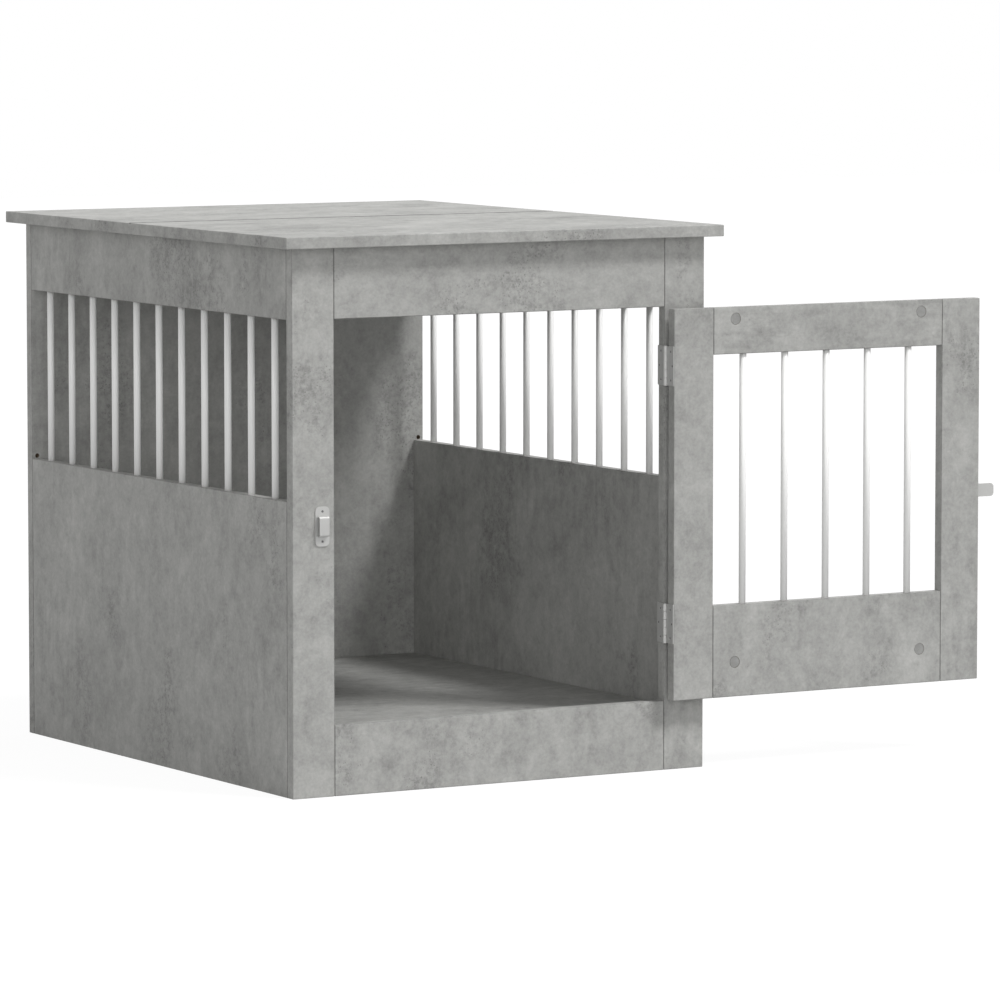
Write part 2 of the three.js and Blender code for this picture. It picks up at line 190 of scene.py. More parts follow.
def light_room():
    world = bpy.data.worlds.new("room")
    world.use_nodes = True
    tree = world.node_tree
    tree.nodes.clear()
    seen = seen_share(tree)
    inputs = {"Value": seen, "To Min": ROOM_STRENGTH, "To Max": 1.0}
    strength = add_node(tree, "ShaderNodeMapRange", inputs).outputs["Result"]
    background = add_node(tree, "ShaderNodeBackground", {"Color": (1, 1, 1, 1), "Strength": strength})
    output = add_node(tree, "ShaderNodeOutputWorld")
    tree.links.new(background.outputs[0], output.inputs[0])
    bpy.context.scene.world = world
    bpy.context.scene.view_settings.view_transform = "Standard"


light_room()
print("room light:", ROOM_STRENGTH)

# %% Floor
FLOOR_SIZE = 30.0
FLOOR_DROP = 0.2 * MM
FLOOR_GREY = (0.46, 0.46, 0.46, 1)  # where it lights the table
FLOOR_FAINT = (0.1, 0.1, 0.1, 1)  # where it is seen, so that shadows stay faint
FLOOR_GLOW = 0.93  # added there, so that it comes out white


def floor_material():
    material = bpy.data.materials.new("studio_floor")
    material.use_nodes = True
    tree = material.node_tree
    tree.nodes.clear()
    matt = add_node(tree, "ShaderNodeBsdfDiffuse", {"Color": FLOOR_GREY})
    white = add_node(tree, "ShaderNodeEmission", {"Color": (1, 1, 1, 1), "Strength": FLOOR_GLOW})
    faint = add_node(tree, "ShaderNodeBsdfDiffuse", {"Color": FLOOR_FAINT})
    shown = add_node(tree, "ShaderNodeAddShader")
    tree.links.new(white.outputs[0], shown.inputs[0])
    tree.links.new(faint.outputs[0], shown.inputs[1])
    mix = add_node(tree, "ShaderNodeMixShader", {"Fac": seen_share(tree)})
    tree.links.new(matt.outputs[0], mix.inputs[1])
    tree.links.new(shown.outputs[0], mix.inputs[2])
    output = add_node(tree, "ShaderNodeOutputMaterial")
    tree.links.new(mix.outputs[0], output.inputs["Surface"])
    return material


def add_floor():
    mesh = bpy.data.meshes.new("studio_floor")
    half = FLOOR_SIZE / 2
    corners = [(-half, -half), (half, -half), (half, half), (-half, half)]
    mesh.from_pydata([(x, y, -FLOOR_DROP) for x, y in corners], [], [(0, 1, 2, 3)])
    mesh.materials.append(floor_material())
    floor = bpy.data.objects.new("studio_floor", mesh)
    bpy.context.scene.collection.objects.link(floor)


add_floor()
print("floor side in metres:", FLOOR_SIZE)

# %% [markdown]
# ## Concrete-pattern laminate
#
# The boards are chipboard under a printed paper that looks like cast concrete. Seen closely the
# print has broad clouds, slanted smears, finer mottling and a fine grain. Streaks run down it in
# some places only, and small dark pits gather inside ragged smudges. A picture of such a print
# could be laid on the boards, but noise needs no picture and never repeats. So each layer here is
# one noise, and all of them read the same place on the sheet, which every board brings along as
# an attribute.
#
# The layers are in a node group, so that the caps on the door, which carry the same print, can
# use it with values of their own. The group puts out a colour, a height and a pit mask.


# %% Node group: concrete print
def group_socket(group, name, kind, way, value=None):
    socket = group.interface.new_socket(name=name, in_out=way, socket_type=kind)
    if value is not None:
        socket.default_value = value


PIT_DEPTH = 1.5  # against the height of the print's tones


def make_concrete_print():
    group = bpy.data.node_groups.new("concrete_print", "ShaderNodeTree")
    group_socket(group, "Place", "NodeSocketVector", "INPUT")
    group_socket(group, "Tone", "NodeSocketColor", "INPUT", (0.38, 0.38, 0.37, 1))
    group_socket(group, "Contrast", "NodeSocketFloat", "INPUT", 1.0)
    group_socket(group, "Pit Amount", "NodeSocketFloat", "INPUT", 1.0)
    group_socket(group, "Color", "NodeSocketColor", "OUTPUT")
    group_socket(group, "Height", "NodeSocketFloat", "OUTPUT")
    group_socket(group, "Pits", "NodeSocketFloat", "OUTPUT")
    given = group.nodes.new("NodeGroupInput").outputs
    place = given["Place"]

    tone = concrete_tone(group, place)
    pits = concrete_pits(group, place, given["Pit Amount"])

    inputs = {0: tone, 1: given["Contrast"], 2: 1.0}
    lightness = add_node(group, "ShaderNodeMath", inputs, operation="MULTIPLY_ADD").outputs[0]
    darkened = maths(group, "MULTIPLY", lightness, maths(group, "SUBTRACT", 1.0, pits))
    color = scaled_color(group, given["Tone"], darkened)
    height = maths(group, "SUBTRACT", tone, maths(group, "MULTIPLY", pits, PIT_DEPTH))

    result = group.nodes.new("NodeGroupOutput").inputs
    group.links.new(color, result["Color"])
    group.links.new(height, result["Height"])
    group.links.new(pits, result["Pits"])
    return group


def summed(group, layers):
    """The sum of noises, each moved to a mean of zero and multiplied by its amount."""
    total = 0.0
    for value, amount in layers:
        part = maths(group, "MULTIPLY", maths(group, "SUBTRACT", value, 0.5), amount)
        total = maths(group, "ADD", part, total)
    return total


def concrete_tone(group, place):
    """How much lighter or darker than its mean the print is, as a share."""
    along = stretched(group, place, (1, 1, 1.5))
    slanted = stretched(group, place, (1, 1, 2.6), (0.6, 0.6, 0))
    streaks = stretched(group, place, (1, 1, 7))
    streaked = ramp(group, noise(group, along, 4, 3), 0.48, 0.66, 0.0, 0.6)
    # Each noise has its scale, detail, roughness and distortion, and then the amount of the layer.
    layers = [
        (noise(group, slanted, 7, 4, 0.55, 0.9), 0.50),
        (noise(group, along, 22, 5, 0.6, 0.9), 0.62),
        (noise(group, place, 70, 6, 0.7, 0.3), 0.70),
        (noise(group, streaks, 90, 4, 0.65), streaked),
        (noise(group, place, 260, 4, 0.65), 0.44),
    ]
    return summed(group, layers)


PITS = ((75, 0.09, 0.4), (190, 0.22, 0.34))  # cells to a metre, size in a cell and darkness


def concrete_pits(group, place, amount):
    """Ragged smudges with small dark pits in them, where a slow noise is high."""
    along = stretched(group, place, (1, 1, 1.8))
    crowd = ramp(group, noise(group, along, 9, 5, 0.62), 0.5, 0.66)
    ragged = ramp(group, noise(group, place, 120, 6, 0.78), 0.44, 0.62, 0.02, 0.28)
    dark = maths(group, "MULTIPLY", crowd, ragged)
    for scale, size, share in PITS:
        cells = add_node(group, "ShaderNodeTexVoronoi", {"Vector": place, "Scale": scale})
        uneven = maths(group, "MULTIPLY", noise(group, place, scale * 5, 2), 2 * size)
        reach = maths(group, "MULTIPLY", uneven, crowd)
        edge = maths(group, "LESS_THAN", cells.outputs["Distance"], reach)
        dark = maths(group, "MAXIMUM", dark, maths(group, "MULTIPLY", edge, share))
    return maths(group, "MULTIPLY", dark, amount)


concrete_print = make_concrete_print()
print("concrete print nodes:", len(concrete_print.nodes))

# %% [markdown]
# A second group holds what every finish here shares: a soft unevenness, which breaks up the
# highlights on laminate, enamel, nickel and plastic.


# %% Node group: soft unevenness
def make_unevenness():
    group = bpy.data.node_groups.new("soft_unevenness", "ShaderNodeTree")
    group_socket(group, "Place", "NodeSocketVector", "INPUT")
    group_socket(group, "Scale", "NodeSocketFloat", "INPUT", 100.0)
    group_socket(group, "Low", "NodeSocketFloat", "INPUT", 0.0)
    group_socket(group, "High", "NodeSocketFloat", "INPUT", 1.0)
    group_socket(group, "Value", "NodeSocketFloat", "OUTPUT")
    given = group.nodes.new("NodeGroupInput").outputs
    value = noise(group, given["Place"], given["Scale"], 5, 0.6)
    inputs = {"Value": value, "From Min": 0.3, "From Max": 0.7}
    inputs |= {"To Min": given["Low"], "To Max": given["High"]}
    spread = add_node(group, "ShaderNodeMapRange", inputs).outputs["Result"]
    group.links.new(spread, group.nodes.new("NodeGroupOutput").inputs["Value"])
    return group


soft_unevenness = make_unevenness()
print("soft unevenness nodes:", len(soft_unevenness.nodes))


# %% Helpers for materials
def new_surface(name):
    """A material with a Principled shader: its tree and the shader node."""
    material = bpy.data.materials.new(name)
    material.use_nodes = True
    tree = material.node_tree
    tree.nodes.clear()
    shader = add_node(tree, "ShaderNodeBsdfPrincipled")
    output = add_node(tree, "ShaderNodeOutputMaterial")
    tree.links.new(shader.outputs["BSDF"], output.inputs["Surface"])
    return material, tree, shader


def object_place(tree):
    return add_node(tree, "ShaderNodeTexCoord").outputs["Object"]


def use_group(tree, group, inputs):
    node = add_node(tree, "ShaderNodeGroup", node_tree=group)
    for name, value in inputs.items():
        feed(tree, node.inputs[name], value)
    return node.outputs


def add_bump(tree, shader, height, distance, strength):
    inputs = {"Height": height, "Distance": distance, "Strength": strength}
    feed(tree, shader.inputs["Normal"], add_node(tree, "ShaderNodeBump", inputs).outputs["Normal"])


# %% Laminate
SHEET = "sheet_place"
# How dark the joints are painted, partly as dust and partly as painted shade, is an attribute of the
# boards' points.
DUST_AND_SHADE = "joint_dust_and_painted_shade"
LAMINATE_TONE = (0.365, 0.365, 0.352, 1)
SHEEN = {"Scale": 40.0, "Low": 0.62, "High": 0.76}
SPECULAR = 0.5  # away from the dust and painted shade
RELIEF = (0.2 * MM, 0.3)  # distance and strength of the bump


def light_left_by_dust_and_shade(tree, place):
    """The share of light that the dust and the painted shade in a joint leave. It is one away from the
    joints.
    """
    dust_and_shade = add_node(tree, "ShaderNodeAttribute", attribute_name=DUST_AND_SHADE).outputs["Fac"]
    patchy = ramp(tree, noise(tree, place, 60, 4), 0.3, 0.7, 0.85, 1.15)
    return maths(tree, "SUBTRACT", 1.0, maths(tree, "MULTIPLY", dust_and_shade, patchy), clamp=True)


def make_laminate(name, tone, contrast, pit_amount):
    material, tree, shader = new_surface(name)
    place = add_node(tree, "ShaderNodeAttribute", attribute_name=SHEET).outputs["Vector"]
    inputs = {"Place": place, "Tone": tone, "Contrast": contrast, "Pit Amount": pit_amount}
    print_layers = use_group(tree, concrete_print, inputs)
    # The joints' dust and painted shade darken both the colour and the specular.
    light = light_left_by_dust_and_shade(tree, place)
    feed(tree, shader.inputs["Base Color"], scaled_color(tree, print_layers["Color"], light))
    feed(tree, shader.inputs["Specular IOR Level"], maths(tree, "MULTIPLY", light, SPECULAR))
    sheen = use_group(tree, soft_unevenness, {"Place": place, **SHEEN})
    feed(tree, shader.inputs["Roughness"], sheen["Value"])
    add_bump(tree, shader, print_layers["Height"], *RELIEF)
    return material


laminate = make_laminate("concrete_laminate", LAMINATE_TONE, 1.0, 1.0)
print("made", laminate.name)


# %% [markdown]
# Where a board is drilled, the cutter goes through the paper into the chipboard: pressed flakes
# of wood, brown and coarse. It only shows inside the holes.


# %% Bare chipboard
FLAKE_COLORS = ((0.10, 0.075, 0.05, 1), (0.24, 0.18, 0.12, 1))
FLAKES_TO_A_METRE = 600.0
FLAKE_RELIEF = (0.3 * MM, 0.5)


def make_chipboard():
    material, tree, shader = new_surface("bare_chipboard")
    inputs = {"Vector": object_place(tree), "Scale": FLAKES_TO_A_METRE}
    flakes = add_node(tree, "ShaderNodeTexVoronoi", inputs).outputs["Distance"]
    feed(tree, shader.inputs["Base Color"], mixed_color(tree, flakes, *FLAKE_COLORS))
    feed(tree, shader.inputs["Roughness"], 0.9)
    add_bump(tree, shader, flakes, *FLAKE_RELIEF)
    return material


chipboard = make_chipboard()
print("made", chipboard.name)


# %% [markdown]
# The bars are steel under white enamel. The hinges, the keeper and the bolt are steel with a satin
# nickel plating. Both finishes are plain, with a slight unevenness that spreads their highlights,
# so one function makes both. The nickel is only partly metallic: a full metal would mirror little
# but the white room, and this one lets the lamps shade it too.

# %% Enamel and nickel
# Each look has how metallic it is, the scale of its unevenness, its roughness from and to, and
# the distance of its bump.
ENAMEL_COLOR = (0.92, 0.92, 0.91, 1)
ENAMEL_LOOK = (0.0, 260.0, 0.38, 0.5, 0.05 * MM)
NICKEL_COLOR = (0.5, 0.5, 0.49, 1)
NICKEL_LOOK = (0.45, 900.0, 0.5, 0.62, 0.02 * MM)
FINISH_BUMP = 0.3


def make_smooth_finish(name, color, metallic, scale, low, high, bump):
    material, tree, shader = new_surface(name)
    inputs = {"Place": object_place(tree), "Scale": scale, "Low": low, "High": high}
    uneven = use_group(tree, soft_unevenness, inputs)["Value"]
    feed(tree, shader.inputs["Base Color"], color)
    feed(tree, shader.inputs["Metallic"], metallic)
    feed(tree, shader.inputs["Roughness"], uneven)
    add_bump(tree, shader, uneven, bump, FINISH_BUMP)
    return material


enamel = make_smooth_finish("white_enamel", ENAMEL_COLOR, *ENAMEL_LOOK)
nickel = make_smooth_finish("satin_nickel", NICKEL_COLOR, *NICKEL_LOOK)
screw_steel = make_smooth_finish("screw_steel", NICKEL_COLOR, *NICKEL_LOOK)
print("made", enamel.name, nickel.name, "and", screw_steel.name)

# %% [markdown]
# Hardly any light comes back out of the cross recess of a screw. The hollow itself is modelled, but
# too coarsely to be dark by itself, so its points bring along a mark that darkens the nickel there.

# %% Dark recess of the screws
RECESS = "recess"
RECESS_COLOR = (0.17, 0.17, 0.17, 1)


def darken_recess(material):
    """Lets the colour follow the recess, which every screw brings along as an attribute."""
    tree = material.node_tree
    inside = add_node(tree, "ShaderNodeAttribute", attribute_name=RECESS).outputs["Fac"]
    shader = next(node for node in tree.nodes if node.type == "BSDF_PRINCIPLED")
    feed(tree, shader.inputs["Base Color"], mixed_color(tree, inside, NICKEL_COLOR, RECESS_COLOR))


darken_recess(screw_steel)
print("recess color:", RECESS_COLOR[:3])

# %% [markdown]
# ## Boards
#
# The solids of the boards are right, but their edges are perfectly sharp and their triangles are
# loose. Each board is made again from a welded copy, with a small bevel, because a real edge
# always catches a thin line of light. Where two boards meet, the groove between their bevels is
# painted darker, partly as dust and partly as painted shade, so each point of a board brings
# along how dark it is painted. The places in the print are shifted for every board, since each
# one was sawn from another part of the sheet, and turned so that the streaks run along the board.

# %% Helpers for pieces
RECORD = frame["record"]
BODY_OF = {node: body for body, nodes in RECORD["behaviour"]["bodies"].items() for node in nodes}


def add_piece(name, mesh, body, nodes=()):
    """Puts a finished mesh in the scene, in place of the solids that it stands for, if any."""
    piece = bpy.data.objects.new(name, mesh)
    bpy.context.scene.collection.objects.link(piece)
    if nodes:
        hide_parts(*nodes)
    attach(piece, body)


def mesh_from(shape, name, materials):
    mesh = bpy.data.meshes.new(name)
    shape.to_mesh(mesh)
    shape.free()
    for material in materials:
        mesh.materials.append(material)
    return mesh


WELD = 0.01 * MM
NEAR = 0.1 * MM  # two places closer than this are one
FLAT_ANGLE = math.radians(1)
EDGE_ANGLE = math.radians(40)
SHORTEST_BEVEL = 5 * MM


def welded_copy(node):
    shape = bmesh.new()
    shape.from_mesh(frame["nodes"][node].data)
    bmesh.ops.remove_doubles(shape, verts=shape.verts, dist=WELD)
    bmesh.ops.dissolve_limit(shape, angle_limit=FLAT_ANGLE, verts=shape.verts, edges=shape.edges)
    return shape


def sharp_edges(shape, shortest):
    """The sharp edges that are long enough. The short ones are rims of drilled holes, left crisp."""
    edges = [edge for edge in shape.edges if edge.calc_face_angle(0) > EDGE_ANGLE]
    return [edge for edge in edges if edge.calc_length() > shortest]


def bevel_edges(shape, edges, width, steps):
    """Bevels the edges and gives back the new faces."""
    made = bmesh.ops.bevel(shape, geom=edges, offset=width, segments=steps, profile=0.5, affect="EDGES")
    return set(made["faces"])


# %% Boards, and the axis that their print runs along
BOARD_RUNS = {
    "tabletop_front": "x",
    "tabletop_rear": "x",
    "tabletop_seam_rail": "x",
    "front_left_stile": "z",
    "front_right_stile": "z",
    "front_top_rail": "x",
    "front_bottom_rail": "z",
    "left_side_rail": "z",
    "left_side_panel": "z",
    "right_side_rail": "z",
    "right_side_panel": "z",
    "back_panel": "z",
    "floor_panel": "x",
    "floor_batten_left": "y",
    "floor_batten_right": "y",
    "door_hinge_stile": "z",
    "door_latch_stile": "z",
    "door_top_rail": "x",
    "door_bottom_rail": "z",
}
BOARD_BOXES = {node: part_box(node) for node in BOARD_RUNS}
print("boards:", len(BOARD_RUNS))

# %% Board helper
BOARD_BEVEL = 1 * MM
BEVEL_STEPS = 2
SHEET_STEP = Vector((1.73, 2.31, 0.97))  # from one board's place on the sheet to the next one's
RUN_ORDER = {"x": (1, 2, 0), "y": (2, 0, 1), "z": (0, 1, 2)}


def lay_sheet(mesh, run, number):
    """Stores where each point lies on the printed sheet. The print's streaks follow its last axis."""
    places = mesh.attributes.new(SHEET, "FLOAT_VECTOR", "POINT")
    order = RUN_ORDER[run]
    shift = SHEET_STEP * number
    values = []
    for vertex in mesh.vertices:
        values.extend(vertex.co[axis] + shift[place] for place, axis in enumerate(order))
    places.data.foreach_set("vector", values)


def mark_drilled_faces(shape, node):
    """Gives the second material to faces inside the board, where it is drilled."""
    low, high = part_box(node)
    for face in shape.faces:
        middle = face.calc_center_median()
        depth = min(min(middle[a] - low[a], high[a] - middle[a]) for a in range(3))
        if depth > NEAR:
            face.material_index = 1


# %% [markdown]
# Two boards make the top, and they touch: a gap would let daylight through at the sides. Yet
# their joint is a dark line in the picture, although the top is seen nearly edge-on. So the two
# upper edges are rounded more than other edges, and a band on both sides of them is painted
# darker, partly as dust and partly as painted shade. The other joints are grooves between two
# small bevels, painted less dark in the same way.

# %% Joints, with dust and painted shade
SEAM_CORNER = {"tabletop_front": 1, "tabletop_rear": 0}  # which corner of its box touches the seam
SEAM_ROUND = 2.5 * MM
SEAM_STEPS = 6
# The seam and the other joints are painted darker, partly as dust and partly as painted shade.
SEAM_DUST_AND_SHADE = 0.82  # share of the light that the dust and painted shade take
SEAM_DUST_AND_SHADE_BAND = 3 * MM  # even from the seam to here
SEAM_DUST_AND_SHADE_END = 5 * MM  # and gone from here
JOINT_DUST_AND_SHADE = 0.4
JOINT_REACH = 1.5 * MM


def seam_depth(node):
    """Where the face of this top board that touches the other one lies, from front to back."""
    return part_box(node)[SEAM_CORNER[node]][1]


def round_seam_edge(shape, node):
    depth, height = seam_depth(node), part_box(node)[1][2]
    edges = [
        edge
        for edge in shape.edges
        if all(abs(v.co.y - depth) + abs(v.co.z - height) < NEAR for v in edge.verts)
    ]
    bevel_edges(shape, edges, SEAM_ROUND, SEAM_STEPS)


def paint_seam_dust_and_shade(shape, node, dust_and_shade):
    """Dust and painted shade along the seam, with an even band and a soft edge between two cuts."""
    depth = seam_depth(node)
    for reach in (SEAM_DUST_AND_SHADE_BAND, SEAM_DUST_AND_SHADE_END):
        for cut in (depth - reach, depth + reach):
            whole = shape.verts[:] + shape.edges[:] + shape.faces[:]
            bmesh.ops.bisect_plane(shape, geom=whole, plane_co=(0, cut, 0), plane_no=(0, 1, 0))
    end = BOARD_BOXES[node][1][0] - BOARD_BEVEL / 2
    for vertex in shape.verts:
        if abs(vertex.co.y - depth) < SEAM_DUST_AND_SHADE_BAND + NEAR and abs(vertex.co.x) < end:
            vertex[dust_and_shade] = SEAM_DUST_AND_SHADE


def edges_off_seam(shape, node):
    """The sharp edges, without those of the face that touches the other top board: it fits tightly."""
    depth = seam_depth(node)
    return [
        edge
        for edge in sharp_edges(shape, 0)
        if any(abs(vertex.co.y - depth) > NEAR for vertex in edge.verts)
    ]


def close_seam(shape, node):
    """Moves the touching face by half the solids' gap, so that no daylight shows between the boards.
    It also merges the points that the bevels left in one place at the ends of the seam."""
    depth = seam_depth(node)
    other_depth = next(seam_depth(other) for other in SEAM_CORNER if other != node)
    for vertex in shape.verts:
        if abs(vertex.co.y - depth) < NEAR:
            vertex.co.y = (depth + other_depth) / 2
    bmesh.ops.remove_doubles(shape, verts=shape.verts, dist=WELD)


def meets_other_board(point, node):
    for other, (low, high) in BOARD_BOXES.items():
        near = all(low[a] - JOINT_REACH < point[a] < high[a] + JOINT_REACH for a in range(3))
        if near and other != node:
            return True
    return False


def paint_joint_dust_and_shade(shape, node, bevels, dust_and_shade):
    """Dust and painted shade on the middle line of each bevel that faces another board."""
    for vertex in shape.verts:
        if bevels.issuperset(vertex.link_faces) and meets_other_board(vertex.co, node):
            vertex[dust_and_shade] = JOINT_DUST_AND_SHADE


# %% Dressing of one board
def dress_board(node, run, number):
    shape = welded_copy(node)
    mark_drilled_faces(shape, node)
    edges = sharp_edges(shape, SHORTEST_BEVEL)
    if node in SEAM_CORNER:
        round_seam_edge(shape, node)
        edges = edges_off_seam(shape, node)
    bevels = bevel_edges(shape, edges, BOARD_BEVEL, BEVEL_STEPS)
    # Dust and painted shade in the joints and along the seam.
    dust_and_shade = shape.verts.layers.float.new(DUST_AND_SHADE)
    paint_joint_dust_and_shade(shape, node, bevels, dust_and_shade)
    if node in SEAM_CORNER:
        paint_seam_dust_and_shade(shape, node, dust_and_shade)
        close_seam(shape, node)
    mesh = mesh_from(shape, node + "_board", [laminate, chipboard])
    lay_sheet(mesh, run, number)
    add_piece(node + "_board", mesh, BODY_OF[node], [node])


# %% Boards
for board_number, (board_node, board_run) in enumerate(BOARD_RUNS.items()):
    dress_board(board_node, board_run, board_number)
print("dressed:", len(BOARD_RUNS))

# %% [markdown]
# ## Bars
#
# The bars repeat at an even spacing, which is a rule and not a shape. So Geometry Nodes make
# them: a line of points, one round bar on each point, and the enamel set at the end. One tree
# serves the two sides and the door, with the spacing read from the solids.


# %% Helpers for Geometry Nodes
def new_tree(name, sockets):
    """A tree with its named inputs and one geometry output."""
    tree = bpy.data.node_groups.new(name, "GeometryNodeTree")
    for title, kind in sockets.items():
        group_socket(tree, title, kind, "INPUT")
    group_socket(tree, "Geometry", "NodeSocketGeometry", "OUTPUT")
    return tree, tree.nodes.new("NodeGroupInput").outputs


def end_tree(tree, instances, material, smooth=None):
    """Every tree ends alike: instances made real, shaded smooth where asked, and given a material."""
    real = add_node(tree, "GeometryNodeRealizeInstances", {"Geometry": instances})
    geometry = real.outputs[0]
    if smooth is not None:
        shaded = {"Geometry": geometry, "Shade Smooth": smooth}
        geometry = add_node(tree, "GeometryNodeSetShadeSmooth", shaded).outputs[0]
    painted = add_node(tree, "GeometryNodeSetMaterial", {"Geometry": geometry, "Material": material})
    tree.links.new(painted.outputs[0], tree.nodes.new("NodeGroupOutput").inputs[0])


def run_tree(tree, name, values, start=None):
    """Runs a tree on an object of its own and gives back its result as a plain mesh."""
    maker = bpy.data.objects.new(name, start or bpy.data.meshes.new(name))
    bpy.context.scene.collection.objects.link(maker)
    modifier = maker.modifiers.new("maker", "NODES")
    modifier.node_group = tree
    for item in tree.interface.items_tree:
        if item.in_out == "INPUT" and item.name in values:
            modifier[item.identifier] = values[item.name]
    ready = maker.evaluated_get(bpy.context.evaluated_depsgraph_get())
    mesh = bpy.data.meshes.new_from_object(ready)
    mesh.name = name
    maker.modifiers.clear()
    bpy.data.objects.remove(maker)
    return mesh


# %% Tree: row of bars
BAR_DIAMETER = 9 * MM
BAR_SIDES = 40


def make_bar_row():
    tree, given = new_tree(
        "bar_row",
        {
            "First": "NodeSocketVector",
            "Step": "NodeSocketVector",
            "Count": "NodeSocketInt",
            "Length": "NodeSocketFloat",
            "Diameter": "NodeSocketFloat",
            "Material": "NodeSocketMaterial",
        },
    )
    line = {"Count": given["Count"], "Start Location": given["First"], "Offset": given["Step"]}
    points = add_node(tree, "GeometryNodeMeshLine", line, mode="OFFSET").outputs[0]
    radius = maths(tree, "MULTIPLY", given["Diameter"], 0.5)
    bar = {"Vertices": BAR_SIDES, "Radius": radius, "Depth": given["Length"]}
    rod = add_node(tree, "GeometryNodeMeshCylinder", bar)
    placed = {"Points": points, "Instance": rod.outputs["Mesh"]}
    rods = add_node(tree, "GeometryNodeInstanceOnPoints", placed).outputs[0]
    end_tree(tree, rods, given["Material"], rod.outputs["Side"])
    return tree


bar_row = make_bar_row()


def middle_of(node):
    low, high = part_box(node)
    return (Vector(low) + Vector(high)) / 2


def add_bars(name, nodes):
    first, second = middle_of(nodes[0]), middle_of(nodes[1])
    low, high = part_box(nodes[0])
    values = {
        "First": first,
        "Step": second - first,
        "Count": len(nodes),
        "Length": high[2] - low[2],
        "Diameter": BAR_DIAMETER,
        "Material": enamel,
    }
    mesh = run_tree(bar_row, name, values)
    add_piece(name, mesh, BODY_OF[nodes[0]], nodes)
    print(name, "bars:", len(nodes), "spacing:", round((second - first).length / MM, 1), "mm")


# %% Bars
def numbered(prefix):
    return sorted(node for node in BODY_OF if node.startswith(prefix))


add_bars("left_side_bars", numbered("left_side_bar_"))
add_bars("right_side_bars", numbered("right_side_bar_"))
add_bars("door_bars", numbered("door_bar_"))

# %% [markdown]
# ## Fittings
#
# The metal fittings are pressed from sheet, so each is an outline with a thickness. A filled
# curve suits that: it takes holes, rounds its corners finely and rolls its own small edge. Pins,
# the knob and the caps are turned, so they are profiles swept round an axis.


# %% Helpers for outlines
def arc(x, y, radius, start, end, steps=10):
    """Points on an arc about (x, y), with the angles in degrees."""
    angles = [math.radians(start + (end - start) * i / steps) for i in range(steps + 1)]
    return [(x + radius * math.cos(a), y + radius * math.sin(a)) for a in angles]


def circle(x, y, radius, steps=40):
    return arc(x, y, radius, 0, 360, steps)[:-1]


def rounded_box(left, right, low, high, radius):
    corners = [(right, high, 0), (left, high, 90), (left, low, 180), (right, low, 270)]
    points = []
    for x, y, start in corners:
        inner_x = x - radius if x == right else x + radius
        inner_y = y - radius if y == high else y + radius
        points += arc(inner_x, inner_y, radius, start, start + 90)
    return points


def strap_outline(height, clear_depth, thickness, corner):
    """Two legs and a span of bent strip, seen from the end: across is x, away from the plate is y."""
    half = height / 2
    depth = clear_depth + thickness
    outer = arc(-half + corner, depth - corner, corner, 180, 90)
    outer += arc(half - corner, depth - corner, corner, 90, 0)
    inner = arc(half - corner, depth - corner, corner - thickness, 0, 90)
    inner += arc(-half + corner, depth - corner, corner - thickness, 90, 180)
    return [(-half, 0)] + outer + [(half, 0), (half - thickness, 0)] + inner + [(-half + thickness, 0)]


# %% Helpers for sheet and turned pieces
SHARP_ANGLE = math.radians(20)
SHEET_WELD = 0.005 * MM


def axes(origin, across, up, out):
    """A matrix that takes a piece drawn in x, y and z to its place: three directions and an origin."""
    columns = [Vector(across), Vector(up), Vector(out), Vector(origin)]
    matrix = Matrix.Identity(4)
    for index, column in enumerate(columns):
        for row in range(3):
            matrix[row][index] = column[row]
    return matrix


def sheet_piece(outlines, thickness, edge, place):
    """A bmesh of a flat piece: the first outline is its rim, and the others are its holes."""
    data = bpy.data.curves.new("outline", "CURVE")
    data.dimensions = "2D"
    data.fill_mode = "BOTH"
    data.extrude = thickness / 2 - edge
    data.bevel_depth = edge
    data.bevel_resolution = 1
    data.offset = -edge
    for points in outlines:
        spline = data.splines.new("POLY")
        spline.points.add(len(points) - 1)
        for point, (x, y) in zip(spline.points, points):
            point.co = (x, y, 0, 1)
        spline.use_cyclic_u = True
    holder = bpy.data.objects.new("outline", data)
    bpy.context.scene.collection.objects.link(holder)
    ready = holder.evaluated_get(bpy.context.evaluated_depsgraph_get())
    mesh = bpy.data.meshes.new_from_object(ready)
    bpy.data.objects.remove(holder)
    shape = bmesh.new()
    shape.from_mesh(mesh)
    bmesh.ops.remove_doubles(shape, verts=shape.verts, dist=SHEET_WELD)
    bmesh.ops.translate(shape, verts=shape.verts, vec=(0, 0, thickness / 2))
    return settled(shape, place)


def turned_piece(profile, place, sides=48):
    """A bmesh swept round the z axis from (radius, height) points that start and end on it."""
    shape = bmesh.new()
    rings = []
    for radius, height in profile:
        count = 1 if radius == 0 else sides
        angles = [2 * math.pi * i / sides for i in range(count)]
        ring = [shape.verts.new((radius * math.cos(a), radius * math.sin(a), height)) for a in angles]
        rings.append(ring)
    for low, high in zip(rings, rings[1:]):
        for i in range(sides):
            j = (i + 1) % sides
            corners = [low[i % len(low)], low[j % len(low)], high[j % len(high)], high[i % len(high)]]
            shape.faces.new(list(dict.fromkeys(corners)))
    return settled(shape, place)


def settled(shape, place):
    bmesh.ops.recalc_face_normals(shape, faces=shape.faces)
    bmesh.ops.transform(shape, matrix=place, verts=shape.verts)
    return shape


def joined(shapes, name, material):
    """One smooth-shaded mesh of several bmeshes, with its real corners kept sharp."""
    whole = bmesh.new()
    for shape in shapes:
        part = bpy.data.meshes.new("part")
        shape.to_mesh(part)
        shape.free()
        whole.from_mesh(part)
        bpy.data.meshes.remove(part)
    for face in whole.faces:
        face.smooth = True
    mesh = mesh_from(whole, name, [material])
    mesh.set_sharp_from_angle(angle=SHARP_ANGLE)
    return mesh


# %% [markdown]
# A butt hinge is two leaves rolled round one pin. Each leaf carries every second knuckle. With
# the door right open both leaves face the same way, so the two differ only in their side and in
# which knuckles they have.

